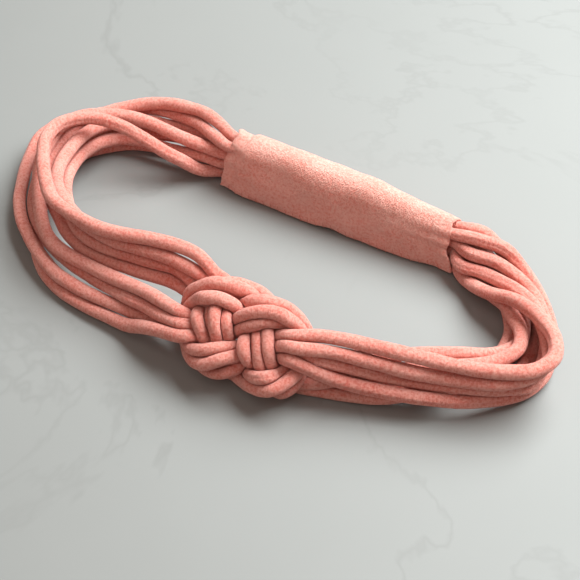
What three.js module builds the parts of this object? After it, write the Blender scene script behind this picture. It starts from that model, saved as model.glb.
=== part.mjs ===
// Knotted headband. Two ropes of four rolled-jersey cords are tied together at the front in a
// carrick bend, and the sixteen cord ends meet at the back, whipped with thread and wrapped in a
// jersey sleeve. Millimetres, +Z up, lying flat: the knot is towards -Y and the sleeve towards +Y.

import * as THREE from 'three';

// ---- Driving dimensions ----
const CENTRE = new THREE.Vector3(16.99, 9.56, 0); // moves the routes below to the middle of the object

const FREE_RADIUS = 2.45; // rolled cord where nothing presses on it
const KNOT_RADIUS = 1.85; // the same cord squeezed inside the knot
const GATHERED_RADIUS = 2.1; // and gathered inside the sleeve
const RIGHT_MOUTH_RADIUS = 2.15; // where the sleeve is narrowest
const CORD_GAP = 0.3;
const CORD_SIDES = 8;
const THIN_RADIUS = 0.2; // less than half of any step, so that each corner is nearest to its own ring

const LEG_STEP = 10; // length of one straight piece of cord between the sleeve and the knot
const KNOT_STEP = 4.9; // and inside the knot

const SLEEVE_LEFT = -60 + CENTRE.x;
const SLEEVE_RIGHT = 47 + CENTRE.x;
const SLEEVE_MIDDLE = (SLEEVE_LEFT + SLEEVE_RIGHT) / 2;
const SLEEVE_LENGTH = SLEEVE_RIGHT - SLEEVE_LEFT;
const SLEEVE_FRONT = 33 + CENTRE.y;
const SLEEVE_DEPTH = 14; // front to back
const SLEEVE_HEIGHT = 24;
const SLEEVE_WALL = 1.2; // jersey doubled over
const SLEEVE_CORNER = 3.4;
const SLEEVE_SLANT = 0.19; // how far the left mouth leans to the right for each mm of height
const SLEEVE_RIGHT_DEPTH = 12.2;
const SLEEVE_RIGHT_HEIGHT = 21.6;
const SLEEVE_STEPS = 12;
const NARROWING_START = 65; // along the sleeve from its left mouth
const NARROWING_END = 95;
const MOUTH_REACH = 2.2; // the cords run straight this far out of each mouth
const MOUTH_OUT = 2; // a route's outer point at a mouth lies this far outside it,
const MOUTH_RUN = 6; // and its inner one this far back along the cord
const GATHERED_REACH = 14; // the cords are gathered this far either side of the middle
const LEFT_WIDENING_END = 44; // from the middle, where the left cords are full again
const RIGHT_NARROWING_END = 44;
const RIGHT_WIDENING_START = 54;
const RIGHT_WIDENING_END = 68;
const BACK_START = 30 + CENTRE.y; // further back than this, a cord is in the sleeve or on its way in

const LAP_STAND_OFF = 1.5; // the free edge lies outside the edge it covers
const LAP_CLEARANCE = 0.3;
const LAP_BOTTOM = 1.5;
const LAP_TOP = 11;
const LAP_FOLD = 2.5; // the lap leaves the cloth it covers over this height,
const LAP_FOLD_INSIDE = 2.8; // and on its inner side over this one
const UNDER_EDGE_TOP = 7.5;

const SEAM_THREAD_RADIUS = 0.25;
const SEAM_STITCHES = 24;
const SEAM_MARGIN = 4;
const SEAM_LOW = LAP_BOTTOM + 0.8;
const SEAM_HIGH = LAP_BOTTOM + 3.6;
const WHIPPING_RADIUS = 0.3;
const WHIPPING_TURNS = 3;
const WHIPPING_PITCH = 1.1;
const WHIPPING_OFFSET = 9; // from the butt joint to the middle of each whipping
const JOINING_ROWS = 10;
const JOINING_REACH = 4; // each joining stitch reaches this far from the butt joint
const THREAD_SIDES = 6;

const KNOT_CENTRE = new THREE.Vector3(-1, -52, 18).add(CENTRE);
const KNOT_TILT = THREE.MathUtils.degToRad(40); // the knot leans back, its face up and forwards
const KNOT_TURN = THREE.MathUtils.degToRad(5.8);
const KNOT_SCALE = 0.86;
const KNOT_HALF_WIDTH = 28;
const KNOT_HALF_HEIGHT = 19;
const KNOT_LOW_SHIFT = 5; // the lower loops lie further right,
const KNOT_LOW_SQUASH = 0.26; // the lower right one is pressed up
const KNOT_LOW_SINK = 3; // with its outer cords pressed under
const KNOT_OUTER_LIFT = 1.5; // and the outermost one tucked furthest up
const KNOT_OUTER_SINK = 4; // and in,
const KNOT_RIGHT_STRETCH = 0.05; // the upper right loop is a little taller,
const KNOT_LEFT_SQUASH = 0.12; // and the upper left one flatter

// ---- Cord routes ----
// Rows of cord ends inside the sleeve, from the bottom up, in a front and a back column.
const GATHERED = { front: 37.6, back: 42.2, heights: [4.6, 9.2, 13.8, 18.4] };
const LEFT_MOUTH = { front: 36.9, back: 43.1, heights: [3.9, 9.2, 14.6, 19.9] };
const RIGHT_MOUTH = { front: 36.7, back: 41.4, heights: [3.7, 8.4, 13.1, 17.8] };

// Each cord's two legs from its mouth of the sleeve to the knot. The lead runs into the knot first
// and the tail comes back out of it; both lists start at the sleeve.
const LEFT_LEGS = [
  {
    lead: { column: 'front', row: 0, points: [
      [-67, 34, 6], [-81, 27, 15], [-99, 24, 23], [-112, 20, 27], [-120, 14, 28], [-125, 3, 28],
      [-120, -10, 28], [-105, -28, 28], [-94, -35, 28], [-71, -39, 28], [-50, -36, 29], [-33, -35, 29],
    ] },
    tail: { column: 'back', row: 0, points: [
      [-72, 42, 4], [-104, 36, 3], [-118, 26, 3], [-125, 12, 3], [-121, -17, 3], [-107, -39, 3],
      [-86, -52, 3], [-51, -55, 4], [-43.3, -56, 6.8], [-31.9, -58.2, 11],
    ] },
  },
  {
    lead: { column: 'back', row: 2, points: [
      [-75, 46, 15], [-88, 46, 14], [-106, 40, 15], [-119, 20, 18], [-114, -10, 20], [-96, -29, 23],
      [-72, -38, 24], [-49, -38, 25], [-35, -39, 25],
    ] },
    tail: { column: 'front', row: 3, points: [
      [-65, 39, 20], [-78, 45, 19], [-104, 47, 16], [-121, 38, 14], [-137, 23, 11], [-140, 13, 10],
      [-133, -8, 8], [-116, -31, 8], [-87, -49, 8], [-55, -52, 9],
      [-45.7, -52.2, 7.5], [-34.6, -54.1, 10],
    ] },
  },
  {
    lead: { column: 'front', row: 1, points: [
      [-69, 36, 9], [-78, 34, 8], [-104, 32, 8], [-115, 23, 9], [-117, 6, 11], [-109, -13, 15],
      [-91, -32, 19], [-76, -39, 20], [-49, -39, 20], [-38, -39, 21],
    ] },
    tail: { column: 'back', row: 1, points: [
      [-72, 44, 8], [-90, 44, 6], [-105, 40, 4], [-118, 33, 4], [-129, 20, 3], [-132, 4, 3],
      [-120, -23, 4], [-98, -40, 6], [-63, -50, 9], [-44, -52.6, 12.5],
      [-33.4, -55.2, 15.3],
    ] },
  },
  {
    lead: { column: 'back', row: 3, points: [
      [-66, 45, 21], [-75, 48, 21], [-98, 47, 17], [-112, 40, 15], [-122, 30, 14], [-127, 16, 14],
      [-122, -9, 13], [-103, -27, 12], [-90, -36, 14], [-77, -41, 15], [-63, -41, 16], [-39, -41, 18],
    ] },
    tail: { column: 'front', row: 2, points: [
      [-67, 37, 14], [-77, 36, 15], [-106, 34, 18], [-126, 19, 20], [-126, -2, 19], [-117, -20, 15],
      [-97, -41, 12], [-69, -47, 12], [-45.7, -49.4, 15.7],
      [-35.2, -51.9, 18.7],
    ] },
  },
];
const RIGHT_LEGS = [
  {
    lead: { column: 'back', row: 1, points: [
      [53, 38, 8], [70, 26, 3], [82, 12, 3], [84, -3, 3], [77, -20, 3], [60, -37, 3], [51, -43, 3],
      [34, -49, 3],
    ] },
    tail: { column: 'front', row: 0, points: [
      [53, 34, 4], [58, 28.5, 5], [70, 20.5, 11], [76, 19, 14], [90, 12, 20], [103, 2, 22],
      [107, -9, 22], [101, -19, 22], [85, -27, 22], [64, -33, 23], [31, -43, 26],
    ] },
  },
  {
    lead: { column: 'back', row: 0, points: [
      [52, 36, 4], [66, 24, 5], [80, 16, 7], [92, 2, 10], [94, -7, 10], [83, -21, 8], [52, -35, 7],
      [35, -48, 6.5],
    ] },
    tail: { column: 'front', row: 1, points: [
      [54, 30, 9], [72, 29, 11], [88, 22, 14], [100, 7, 15], [105, -7, 16], [96, -22, 16],
      [69, -33, 16], [40, -41, 20], [31, -44, 21],
    ] },
  },
  {
    lead: { column: 'back', row: 3, points: [
      [54, 41, 19], [61, 41, 17], [78, 36, 8], [86, 30, 4], [93, 22, 3], [97, 12, 3], [96, -3, 3],
      [92, -14, 3], [84, -21, 3], [63, -32, 3], [36, -45, 8.5],
    ] },
    tail: { column: 'front', row: 2, points: [
      [55, 33, 14], [70, 33, 14], [86, 27, 11], [99, 11, 9], [103, -11, 9], [98, -19, 9],
      [81, -29, 10], [59, -37, 11], [30, -48, 19],
    ] },
  },
  {
    lead: { column: 'back', row: 2, points: [
      [54, 41, 14], [73, 33, 8], [82, 25, 6], [90, 5, 5], [84, -10, 8], [72, -19, 10], [53, -31, 10],
      [36, -42, 11],
    ] },
    tail: { column: 'front', row: 3, points: [
      [53, 37, 19], [61, 38, 17], [68, 38, 16], [87, 28, 5], [99, 9, 3], [100, -12, 3], [80, -32, 7],
      [47, -46, 11], [31, -52, 17],
    ] },
  },
];

// Lanes through the knot, in the knot's own plane: u to the right, v up its face, h out of it.
// The two ropes make the same figure half a turn apart, and part only where they come in and out.
const KNOT_LANES = [
  {
    leftIn: [[-27, 17, -4], [-20, 15, -7], [-14, 13, -6]],
    rightIn: [[-25, 11, -9], [-19, 12.5, -8], [-14, 12.5, -6]],
    middle: [
      [-11, 10, 0], [-7.2, 6, 5.5], [-4, 2, 6.4], [-2.2, -1.5, 3.4], [-2, -4, -2], [1, -8, -6],
      [5, -10, -4], [9, -11, 3.5], [14, -11, 6], [18, -8, 5.5], [20.5, -5, 1], [22.5, -2, -2],
      [23, 2, -4], [22, 6, -4],
      [19, 9, -1], [15, 10, 2.5], [11, 10, 5], [7, 8, 6], [3, 5.8, 5.5], [0, 3.8, 3.5], [-3, 2, -1],
      [-6, 0, -4],
    ],
    leftOut: [[-10, -3, -5], [-14, -6, -2], [-18, -9.3, 1.5], [-24.2, -12, 1.5]],
    rightOut: [[-9, -4, -4], [-13, -8, -1], [-17, -10, 2], [-23, -12, 4]],
  },
  {
    leftIn: [
      [-30, 13, -5], [-23, 11, -8], [-18, 8, -5], [-14, 6, 1], [-10.9, 3, 4.4], [-8.8, 0, 4.6],
      [-6.9, -3, 2.6],
    ],
    rightIn: [
      [-26, 7, -10], [-19, 8, -7], [-15, 6, 1], [-13.5, 2.5, 3], [-11.5, -0.5, 3.5], [-9.5, -3.5, 2.5],
    ],
    middle: [
      [-5, -6, -2], [-3, -9, -6], [1, -12, -6], [5, -14, -4], [9, -14.5, 0.5], [14, -14.5, 2],
      [19, -12.5, 2],
      [23, -9, 1], [26, -6, 0], [27, -2, -3], [27, 3, -5], [25, 8, -5], [21.5, 12, -2], [17.5, 14, 2],
      [13, 14.5, 4], [8, 13, 5], [3, 10.5, 5], [-1, 8, 3.5], [-4, 6, 0], [-8, 3, -4],
    ],
    leftOut: [[-13, 0, -5], [-17, -4, -5], [-21.2, -8, -3.5], [-27.2, -10, -2]],
    rightOut: [[-12, -1, -5], [-16, -5, -2], [-20, -8, 1], [-26, -9, 1]],
  },
  {
    leftIn: [
      [-33, 7, -6], [-26, 5.5, -9], [-21, 4, -6], [-18, 3, 0], [-15.2, 0, 5],
      [-13.2, -3, 4.8], [-11, -5.5, 1],
    ],
    rightIn: [
      [-28, 4, -11], [-22, 5, -8], [-21, 3, -1], [-19, -0.5, 2], [-17, -4, 2.5], [-14.5, -7, 1],
    ],
    middle: [
      [-9, -9, -3], [-6, -12, -7], [-1, -14, -7], [5, -15.5, -6], [10, -16, -4], [15.6, -15.2, -4.5],
      [20.5, -13.2, -4.5], [24, -10.2, -4.8], [28, -7, -5], [28.5, -2, -7], [28.5, 3, -8], [27, 9, -7],
      [23, 14, -4], [19, 16.5, -1], [15, 17.5, 0], [10, 17, 1.5], [5, 15.5, 2.5], [0, 13, 1.5],
      [-4, 11, -2], [-9, 7, -6],
    ],
    leftOut: [[-14, 4, -6], [-19, 0, -3], [-22.6, -4.8, 1.7], [-27.7, -7, 3]],
    rightOut: [[-14, 3, -7], [-18, -1, -5], [-22, -5, -2], [-28, -6, 0]],
  },
  {
    leftIn: [
      [-35, 3.5, -8], [-29, 2.5, -10], [-24, 2, -9], [-22.7, 2, -5], [-21.4, -1, 1.5],
      [-19.9, -4.5, 3.5], [-16.5, -8.5, 1],
    ],
    rightIn: [
      [-29, 1, -11], [-24, 2, -10], [-21, 2, -6], [-21, -1, -3], [-20, -4, -2], [-18, -8, -3],
    ],
    middle: [
      [-12, -12, -5], [-8, -14, -8], [-2, -14.5, -9], [5, -13, -6], [11, -12.5, -2], [17, -12, -1],
      [21, -10, -2], [24, -7, -5], [25, -3, -8], [25, 3, -9], [23, 9, -8], [20, 13, -5], [15, 15, -2],
      [9, 15, -0.5], [4, 14, -0.5], [0, 12, -1.5], [-4, 10, -3.5], [-9, 6, -7], [-14, 3, -8],
      [-18, 1, -6],
    ],
    leftOut: [[-21, 0, -3], [-24, -1.6, 1], [-29.5, -2.6, 3]],
    rightOut: [[-21, -1, -2], [-24, -2, 2], [-29, -3, 4]],
  },
];

// ---- Settling constants: how the cords give way to each other until none is pressed ----
const SETTLE_ROUNDS = 400;
const FINAL_ROUNDS = 200;
const REST_PULL = 0.02;
const SHIFT_SMOOTHING = 0.3;
const FINAL_SMOOTHING = 0.1;
const STRAIGHTENING = 0.01;
const PAIR_REFRESH = 5; // rounds between looking again for cords that are near each other
const PAIR_REACH = 7.2;
const SAME_CORD_SKIP = 4;
const LEAST_WEIGHT = 0.3;
const SMALL = 1e-9;

const { clamp, smoothstep } = THREE.MathUtils;
const vector = ([x, y, z]) => new THREE.Vector3(x, y, z);
const laid = (point) => vector(point).add(CENTRE);

// ---- Routes ----
function knotPoint(lanePoint, facing) {
  const across = new THREE.Vector3(1, 0, 0);
  const up = new THREE.Vector3(0, Math.cos(KNOT_TILT), Math.sin(KNOT_TILT));
  const out = new THREE.Vector3(0, -Math.sin(KNOT_TILT), Math.cos(KNOT_TILT));
  const turnedAcross = across.clone().applyAxisAngle(out, -KNOT_TURN);
  const turnedUp = up.clone().applyAxisAngle(out, -KNOT_TURN);
  const [u, v, h] = pressed(facing * lanePoint[0], facing * lanePoint[1], lanePoint[2]);
  return KNOT_CENTRE.clone()
    .addScaledVector(turnedAcross, u * KNOT_SCALE)
    .addScaledVector(turnedUp, v * KNOT_SCALE)
    .addScaledVector(out, h);
}

// Presses the even figure of the knot into its real, lopsided shape.
function pressed(u, v, h) {
  const low = smoothstep(-v, 6, 16);
  const lowest = smoothstep(-v, 9.5, 15);
  const outermost = smoothstep(-v, 14.6, 16);
  const high = smoothstep(v, 2, 10);
  const right = smoothstep(u, -8, 4);
  const stretch = high * (right * KNOT_RIGHT_STRETCH - (1 - right) * KNOT_LEFT_SQUASH);
  return [
    u + KNOT_LOW_SHIFT * low,
    v * (1 - KNOT_LOW_SQUASH * low * right + stretch) + KNOT_OUTER_LIFT * outermost * right,
    h - (KNOT_LOW_SINK * lowest + KNOT_OUTER_SINK * outermost) * right,
  ];
}

// The end of a cord inside the sleeve: two straight points, then two at the mouth.
function sleevePoints(leg, isLeft) {
  const side = isLeft ? -1 : 1;
  const mouth = isLeft ? LEFT_MOUTH : RIGHT_MOUTH;
  const gatheredY = GATHERED[leg.column] + CENTRE.y;
  const gatheredZ = GATHERED.heights[leg.row];
  const mouthY = mouth[leg.column] + CENTRE.y;
  const mouthZ = mouth.heights[leg.row];
  const mouthX = isLeft ? SLEEVE_LEFT - MOUTH_OUT + SLEEVE_SLANT * mouthZ : SLEEVE_RIGHT + MOUTH_OUT;
  return {
    inner: [
      new THREE.Vector3(SLEEVE_MIDDLE + side, gatheredY, gatheredZ),
      new THREE.Vector3(SLEEVE_MIDDLE + side * GATHERED_REACH, gatheredY, gatheredZ),
    ],
    mouth: [
      new THREE.Vector3(mouthX - side * MOUTH_RUN, mouthY, mouthZ),
      new THREE.Vector3(mouthX, mouthY, mouthZ),
    ],
  };
}

// Evenly spaced points along the route: long steps on the legs, short ones in the knot.
function cordNodes(legs, lane, isLeft) {
  const facing = isLeft ? 1 : -1;
  const start = sleevePoints(legs.lead, isLeft);
  const end = sleevePoints(legs.tail, isLeft);
  const lead = [...start.mouth, ...legs.lead.points.map(laid)];
  const tail = [...end.mouth, ...legs.tail.points.map(laid)].reverse();
  const lanePoints = isLeft
    ? [...lane.leftIn, ...lane.middle, ...lane.leftOut]
    : [...lane.rightIn, ...lane.middle, ...lane.rightOut];
  const knot = lanePoints.map((point) => knotPoint(point, facing));

  const route = [...lead, ...knot, ...tail];
  const curve = new THREE.CatmullRomCurve3(route, false, 'catmullrom', 0.5);
  const samplesPerSpan = 8;
  const spans = route.length - 1;
  curve.arcLengthDivisions = spans * samplesPerSpan;
  const lengths = curve.getLengths();
  const lengthAt = (index) => lengths[index * samplesPerSpan];
  const mouthStart = lengthAt(1);
  const mouthEnd = lengthAt(spans - 1);
  const total = lengthAt(spans);
  const knotStart = lengthAt(lead.length);
  const knotEnd = lengthAt(lead.length + knot.length - 1);
  const along = [
    0,
    ...evenSteps(mouthStart, knotStart, LEG_STEP),
    ...evenSteps(knotStart, knotEnd, KNOT_STEP),
    ...evenSteps(knotEnd, mouthEnd, LEG_STEP),
    mouthEnd,
    total,
  ];
  const between = along.map((distance) => curve.getPointAt(distance / total));
  return [...start.inner, ...between, ...end.inner.reverse()];
}

function evenSteps(from, to, step) {
  const count = Math.max(2, Math.round((to - from) / step));
  return Array.from({ length: count }, (_, i) => from + ((to - from) * i) / count);
}

// ---- Settling ----
const inSleeve = (place) => place.y > BACK_START;

function restRadius(place) {
  if (inSleeve(place)) {
    const x = place.x - SLEEVE_MIDDLE;
    if (x < 0) {
      const widening = smoothstep(-x, GATHERED_REACH, LEFT_WIDENING_END);
      return GATHERED_RADIUS + (FREE_RADIUS - GATHERED_RADIUS) * widening;
    }
    const towardsMouth = clamp((x - GATHERED_REACH) / (RIGHT_NARROWING_END - GATHERED_REACH), 0, 1);
    const atMouth = GATHERED_RADIUS + (RIGHT_MOUTH_RADIUS - GATHERED_RADIUS) * towardsMouth;
    const widening = smoothstep(x, RIGHT_WIDENING_START, RIGHT_WIDENING_END);
    return atMouth + (FREE_RADIUS - RIGHT_MOUTH_RADIUS) * widening;
  }
  const origin = knotPoint([0, 0, 0], 1);
  const offset = place.clone().sub(origin);
  const across = knotPoint([1, 0, 0], 1).sub(origin).normalize();
  const up = knotPoint([0, 1, 0], 1).sub(origin).normalize();
  const reach = Math.hypot(offset.dot(across) / KNOT_HALF_WIDTH, offset.dot(up) / KNOT_HALF_HEIGHT);
  return KNOT_RADIUS + (FREE_RADIUS - KNOT_RADIUS) * smoothstep(reach, 1, 1.5);
}

const isHeld = ({ x }) => x > SLEEVE_LEFT - MOUTH_REACH && x < SLEEVE_RIGHT + MOUTH_REACH;

function makeNodes(cords) {
  const nodes = [];
  cords.forEach((points, cord) => {
    points.forEach((rest, index) => {
      const isEnd = index === 0 || index === points.length - 1;
      const held = inSleeve(rest) && isHeld(rest);
      const before = isEnd ? 0.5 : rest.distanceTo(points[index - 1]);
      const after = isEnd ? 0.5 : rest.distanceTo(points[index + 1]);
      nodes.push({
        rest,
        place: rest.clone(),
        cord,
        radius: restRadius(rest),
        free: isEnd || held ? 0 : 1,
        isEnd,
        isLast: index === points.length - 1,
        nextShare: before / (before + after),
        push: new THREE.Vector3(),
        share: 0,
      });
    });
  });
  return nodes;
}

// Nearest points of segments a-b and c-d: a fraction along each, and the vector between them.
function nearestBetween(a, b, c, d) {
  const first = b.clone().sub(a);
  const second = d.clone().sub(c);
  const apart = a.clone().sub(c);
  const firstSq = first.lengthSq();
  const secondSq = second.lengthSq();
  const both = first.dot(second);
  const firstApart = first.dot(apart);
  const secondApart = second.dot(apart);
  const spread = firstSq * secondSq - both * both;
  let s = spread > SMALL ? clamp((both * secondApart - firstApart * secondSq) / spread, 0, 1) : 0.5;
  const unclamped = (both * s + secondApart) / secondSq;
  if (unclamped < 0) s = clamp(-firstApart / firstSq, 0, 1);
  if (unclamped > 1) s = clamp((both - firstApart) / firstSq, 0, 1);
  const t = clamp(unclamped, 0, 1);
  return { s, t, apart: apart.addScaledVector(first, s).addScaledVector(second, -t) };
}

function nearPairs(nodes) {
  const segments = [];
  nodes.forEach((node, index) => {
    if (node.isLast) return;
    const next = nodes[index + 1].place;
    const half = node.place.distanceTo(next) / 2;
    segments.push({ index, half, cord: node.cord, middle: node.place.clone().lerp(next, 0.5) });
  });
  const pairs = [];
  for (let i = 0; i < segments.length; i += 1) {
    for (let j = i + 1; j < segments.length; j += 1) {
      const [one, two] = [segments[i], segments[j]];
      const neighbours = one.cord === two.cord && two.index - one.index < SAME_CORD_SKIP;
      const reach = one.half + two.half + PAIR_REACH;
      if (!neighbours && one.middle.distanceTo(two.middle) < reach) pairs.push([one.index, two.index]);
    }
  }
  return pairs;
}

function pushApart(nodes, pairs) {
  nodes.forEach((node) => {
    node.push.set(0, 0, 0);
    node.share = 0;
  });
  pairs.forEach(([i, j]) => {
    const [a, b, c, d] = [nodes[i], nodes[i + 1], nodes[j], nodes[j + 1]];
    const { s, t, apart } = nearestBetween(a.place, b.place, c.place, d.place);
    const radii = a.radius * (1 - s) + b.radius * s + c.radius * (1 - t) + d.radius * t;
    const distance = apart.length();
    const overlap = radii + CORD_GAP - distance;
    if (overlap <= 0) return;
    const direction = apart.divideScalar(Math.max(distance, SMALL));
    const parts = [[a, 1 - s], [b, s], [c, t - 1], [d, -t]];
    const weight = parts.reduce((sum, [node, part]) => sum + node.free * part * part, 0);
    const strength = overlap / Math.max(weight, LEAST_WEIGHT);
    parts.forEach(([node, part]) => {
      node.push.addScaledVector(direction, node.free * part * strength);
      node.share += Math.abs(part);
    });
  });
  nodes.forEach((node) => {
    node.place.addScaledVector(node.push, 1 / Math.max(node.share, 1));
    if (node.free) node.place.z = Math.max(node.place.z, node.radius);
  });
}

// Moves each node with its neighbours, so that a push spreads along the cord as a gentle bend.
function spreadShifts(nodes, smoothing, straightening, pull) {
  nodes.forEach((node) => {
    if (node.free) node.place.lerp(node.rest, pull);
    node.shift = node.place.clone().sub(node.rest);
  });
  const places = nodes.map((node) => node.place.clone());
  nodes.forEach((node, index) => {
    if (!node.free) return;
    const [before, after] = [nodes[index - 1], nodes[index + 1]];
    const mean = before.shift.clone().lerp(after.shift, node.nextShare);
    node.place.addScaledVector(mean.sub(node.shift), smoothing);
    const chord = places[index - 1].clone().lerp(places[index + 1], node.nextShare);
    node.place.addScaledVector(chord.sub(places[index]), straightening);
  });
}

function settle(cords) {
  const nodes = makeNodes(cords);
  let pairs = [];
  for (let round = 0; round < SETTLE_ROUNDS + FINAL_ROUNDS; round += 1) {
    if (round % PAIR_REFRESH === 0) pairs = nearPairs(nodes);
    if (round < SETTLE_ROUNDS) spreadShifts(nodes, SHIFT_SMOOTHING, STRAIGHTENING, REST_PULL);
    else spreadShifts(nodes, FINAL_SMOOTHING, 0, 0);
    pushApart(nodes, pairs);
    pushApart(nodes, pairs);
  }
  return cords.map((_, cord) => nodes.filter((node) => node.cord === cord));
}

// ---- Tubes ----
// A path with its steps exactly at the given points.
class PointPath extends THREE.Curve {
  constructor(points) {
    super();
    this.points = points;
  }

  getPointAt(u) {
    return this.points[Math.round(u * (this.points.length - 1))].clone();
  }

  getTangentAt(u) {
    const index = Math.round(u * (this.points.length - 1));
    const before = this.points[Math.max(index - 1, 0)];
    const after = this.points[Math.min(index + 1, this.points.length - 1)];
    return after.clone().sub(before).normalize();
  }
}

// A tube through the points: a thin one is extruded, and each ring is then scaled to its own radius.
function tube(points, radii, sides) {
  const section = new THREE.Shape(
    Array.from({ length: sides }, (_, i) => {
      const angle = (i * 2 * Math.PI) / sides;
      return new THREE.Vector2(THIN_RADIUS * Math.cos(angle), THIN_RADIUS * Math.sin(angle));
    }),
  );
  const geometry = new THREE.ExtrudeGeometry(section, {
    steps: points.length - 1,
    extrudePath: new PointPath(points),
    bevelEnabled: false,
  });
  const position = geometry.getAttribute('position');
  const corner = new THREE.Vector3();
  for (let i = 0; i < position.count; i += 1) {
    corner.fromBufferAttribute(position, i);
    const ring = nearestIndex(points, corner);
    corner.sub(points[ring]).setLength(radii[ring]).add(points[ring]);
    position.setXYZ(i, corner.x, corner.y, corner.z);
  }
  return geometry;
}

function nearestIndex(points, place) {
  let best = 0;
  points.forEach((point, index) => {
    if (place.distanceToSquared(point) < place.distanceToSquared(points[best])) best = index;
  });
  return best;
}

function thread(points, radius) {
  return tube(points, points.map(() => radius), THREAD_SIDES);
}

// ---- Sleeve ----
// A place on the sleeve: along it from the left mouth, in from its front face, and up. The sleeve
// narrows towards the right, and its left mouth is slanted.
function sleevePlace(along, inwards, up) {
  const narrowing = smoothstep(along, NARROWING_START, NARROWING_END);
  const depth = inwards * (1 + narrowing * (SLEEVE_RIGHT_DEPTH / SLEEVE_DEPTH - 1));
  const height = up * (1 + narrowing * (SLEEVE_RIGHT_HEIGHT / SLEEVE_HEIGHT - 1));
  const slant = SLEEVE_SLANT * height * (1 - along / SLEEVE_LENGTH);
  return new THREE.Vector3(SLEEVE_LEFT + along + slant, SLEEVE_FRONT + depth, height);
}

// The wrapped cloth seen from its end: up the inside edge of the lap, round the bottom, back and
// top, and down the front outside the edge it started from.
function wrapOutline() {
  const far = SLEEVE_DEPTH - SLEEVE_CORNER;
  const high = SLEEVE_HEIGHT - SLEEVE_CORNER;
  const inside = SLEEVE_CORNER - SLEEVE_WALL;
  const quarter = Math.PI / 2;
  const lapInner = SLEEVE_WALL - LAP_STAND_OFF;
  const outline = new THREE.Shape();
  outline.moveTo(0, UNDER_EDGE_TOP);
  outline.lineTo(0, SLEEVE_CORNER);
  outline.absarc(SLEEVE_CORNER, SLEEVE_CORNER, SLEEVE_CORNER, 2 * quarter, 3 * quarter);
  outline.absarc(far, SLEEVE_CORNER, SLEEVE_CORNER, 3 * quarter, 4 * quarter);
  outline.absarc(far, high, SLEEVE_CORNER, 0, quarter);
  outline.absarc(SLEEVE_CORNER, high, SLEEVE_CORNER, quarter, 2 * quarter);
  outline.lineTo(0, LAP_TOP);
  outline.lineTo(-LAP_STAND_OFF, LAP_TOP - LAP_FOLD);
  outline.lineTo(-LAP_STAND_OFF, LAP_BOTTOM);
  outline.lineTo(lapInner, LAP_BOTTOM);
  outline.lineTo(lapInner, LAP_TOP - LAP_FOLD_INSIDE);
  outline.lineTo(SLEEVE_WALL, LAP_TOP - LAP_CLEARANCE);
  outline.absarc(SLEEVE_CORNER, high, inside, 2 * quarter, quarter, true);
  outline.absarc(far, high, inside, quarter, 0, true);
  outline.absarc(far, SLEEVE_CORNER, inside, 0, -quarter, true);
  outline.absarc(SLEEVE_CORNER, SLEEVE_CORNER, inside, -quarter, -2 * quarter, true);
  outline.lineTo(SLEEVE_WALL, UNDER_EDGE_TOP);
  return outline;
}

function sleeveGeometry() {
  const geometry = new THREE.ExtrudeGeometry(wrapOutline(), {
    depth: SLEEVE_LENGTH,
    steps: SLEEVE_STEPS,
    curveSegments: 4,
    bevelEnabled: false,
  });
  const position = geometry.getAttribute('position');
  for (let i = 0; i < position.count; i += 1) {
    const place = sleevePlace(position.getZ(i), position.getX(i), position.getY(i));
    position.setXYZ(i, place.x, place.y, place.z);
  }
  return geometry;
}

// A zigzag of sewing thread that holds the lap, just outside the cloth.
function seamPoints() {
  const inwards = -(LAP_STAND_OFF + LAP_CLEARANCE + SEAM_THREAD_RADIUS);
  const step = (SLEEVE_LENGTH - 2 * SEAM_MARGIN) / (2 * SEAM_STITCHES);
  return Array.from({ length: 2 * SEAM_STITCHES + 1 }, (_, i) => {
    const up = i % 2 === 0 ? SEAM_LOW : SEAM_HIGH;
    return sleevePlace(SEAM_MARGIN + i * step, inwards, up);
  });
}

// ---- Threads inside the sleeve ----
const BUNDLE = {
  y: (GATHERED.front + GATHERED.back) / 2 + CENTRE.y,
  z: (GATHERED.heights[0] + GATHERED.heights[3]) / 2,
  halfDepth: (GATHERED.back - GATHERED.front) / 2,
  halfHeight: (GATHERED.heights[3] - GATHERED.heights[0]) / 2,
  threadOffset: GATHERED_RADIUS + CORD_GAP + WHIPPING_RADIUS,
};

// Turns of thread round the four-by-two bundle of cord ends, with rounded corners.
function whippingPoints(middleX) {
  const points = [];
  const cornerSteps = 4;
  const perTurn = 4 * (cornerSteps + 1);
  for (let i = 0; i <= perTurn * WHIPPING_TURNS; i += 1) {
    const corner = Math.floor((i % perTurn) / (cornerSteps + 1));
    const within = i % (cornerSteps + 1);
    const angle = ((corner + within / cornerSteps) * Math.PI) / 2;
    const sideY = corner === 0 || corner === 3 ? 1 : -1;
    const sideZ = corner < 2 ? 1 : -1;
    points.push(
      new THREE.Vector3(
        middleX + WHIPPING_PITCH * (i / perTurn - WHIPPING_TURNS / 2),
        BUNDLE.y + sideY * BUNDLE.halfDepth + BUNDLE.threadOffset * Math.cos(angle),
        BUNDLE.z + sideZ * BUNDLE.halfHeight + BUNDLE.threadOffset * Math.sin(angle),
      ),
    );
  }
  return points;
}

// The stitches that draw the two bundles together, laced up the front of the butt joint.
function joiningPoints() {
  return Array.from({ length: JOINING_ROWS }, (_, i) => {
    const side = i % 2 === 0 ? -1 : 1;
    const height = BUNDLE.z - BUNDLE.halfHeight + (2 * BUNDLE.halfHeight * i) / (JOINING_ROWS - 1);
    const y = BUNDLE.y - BUNDLE.halfDepth - BUNDLE.threadOffset;
    return new THREE.Vector3(SLEEVE_MIDDLE + side * JOINING_REACH, y, height);
  });
}

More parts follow.
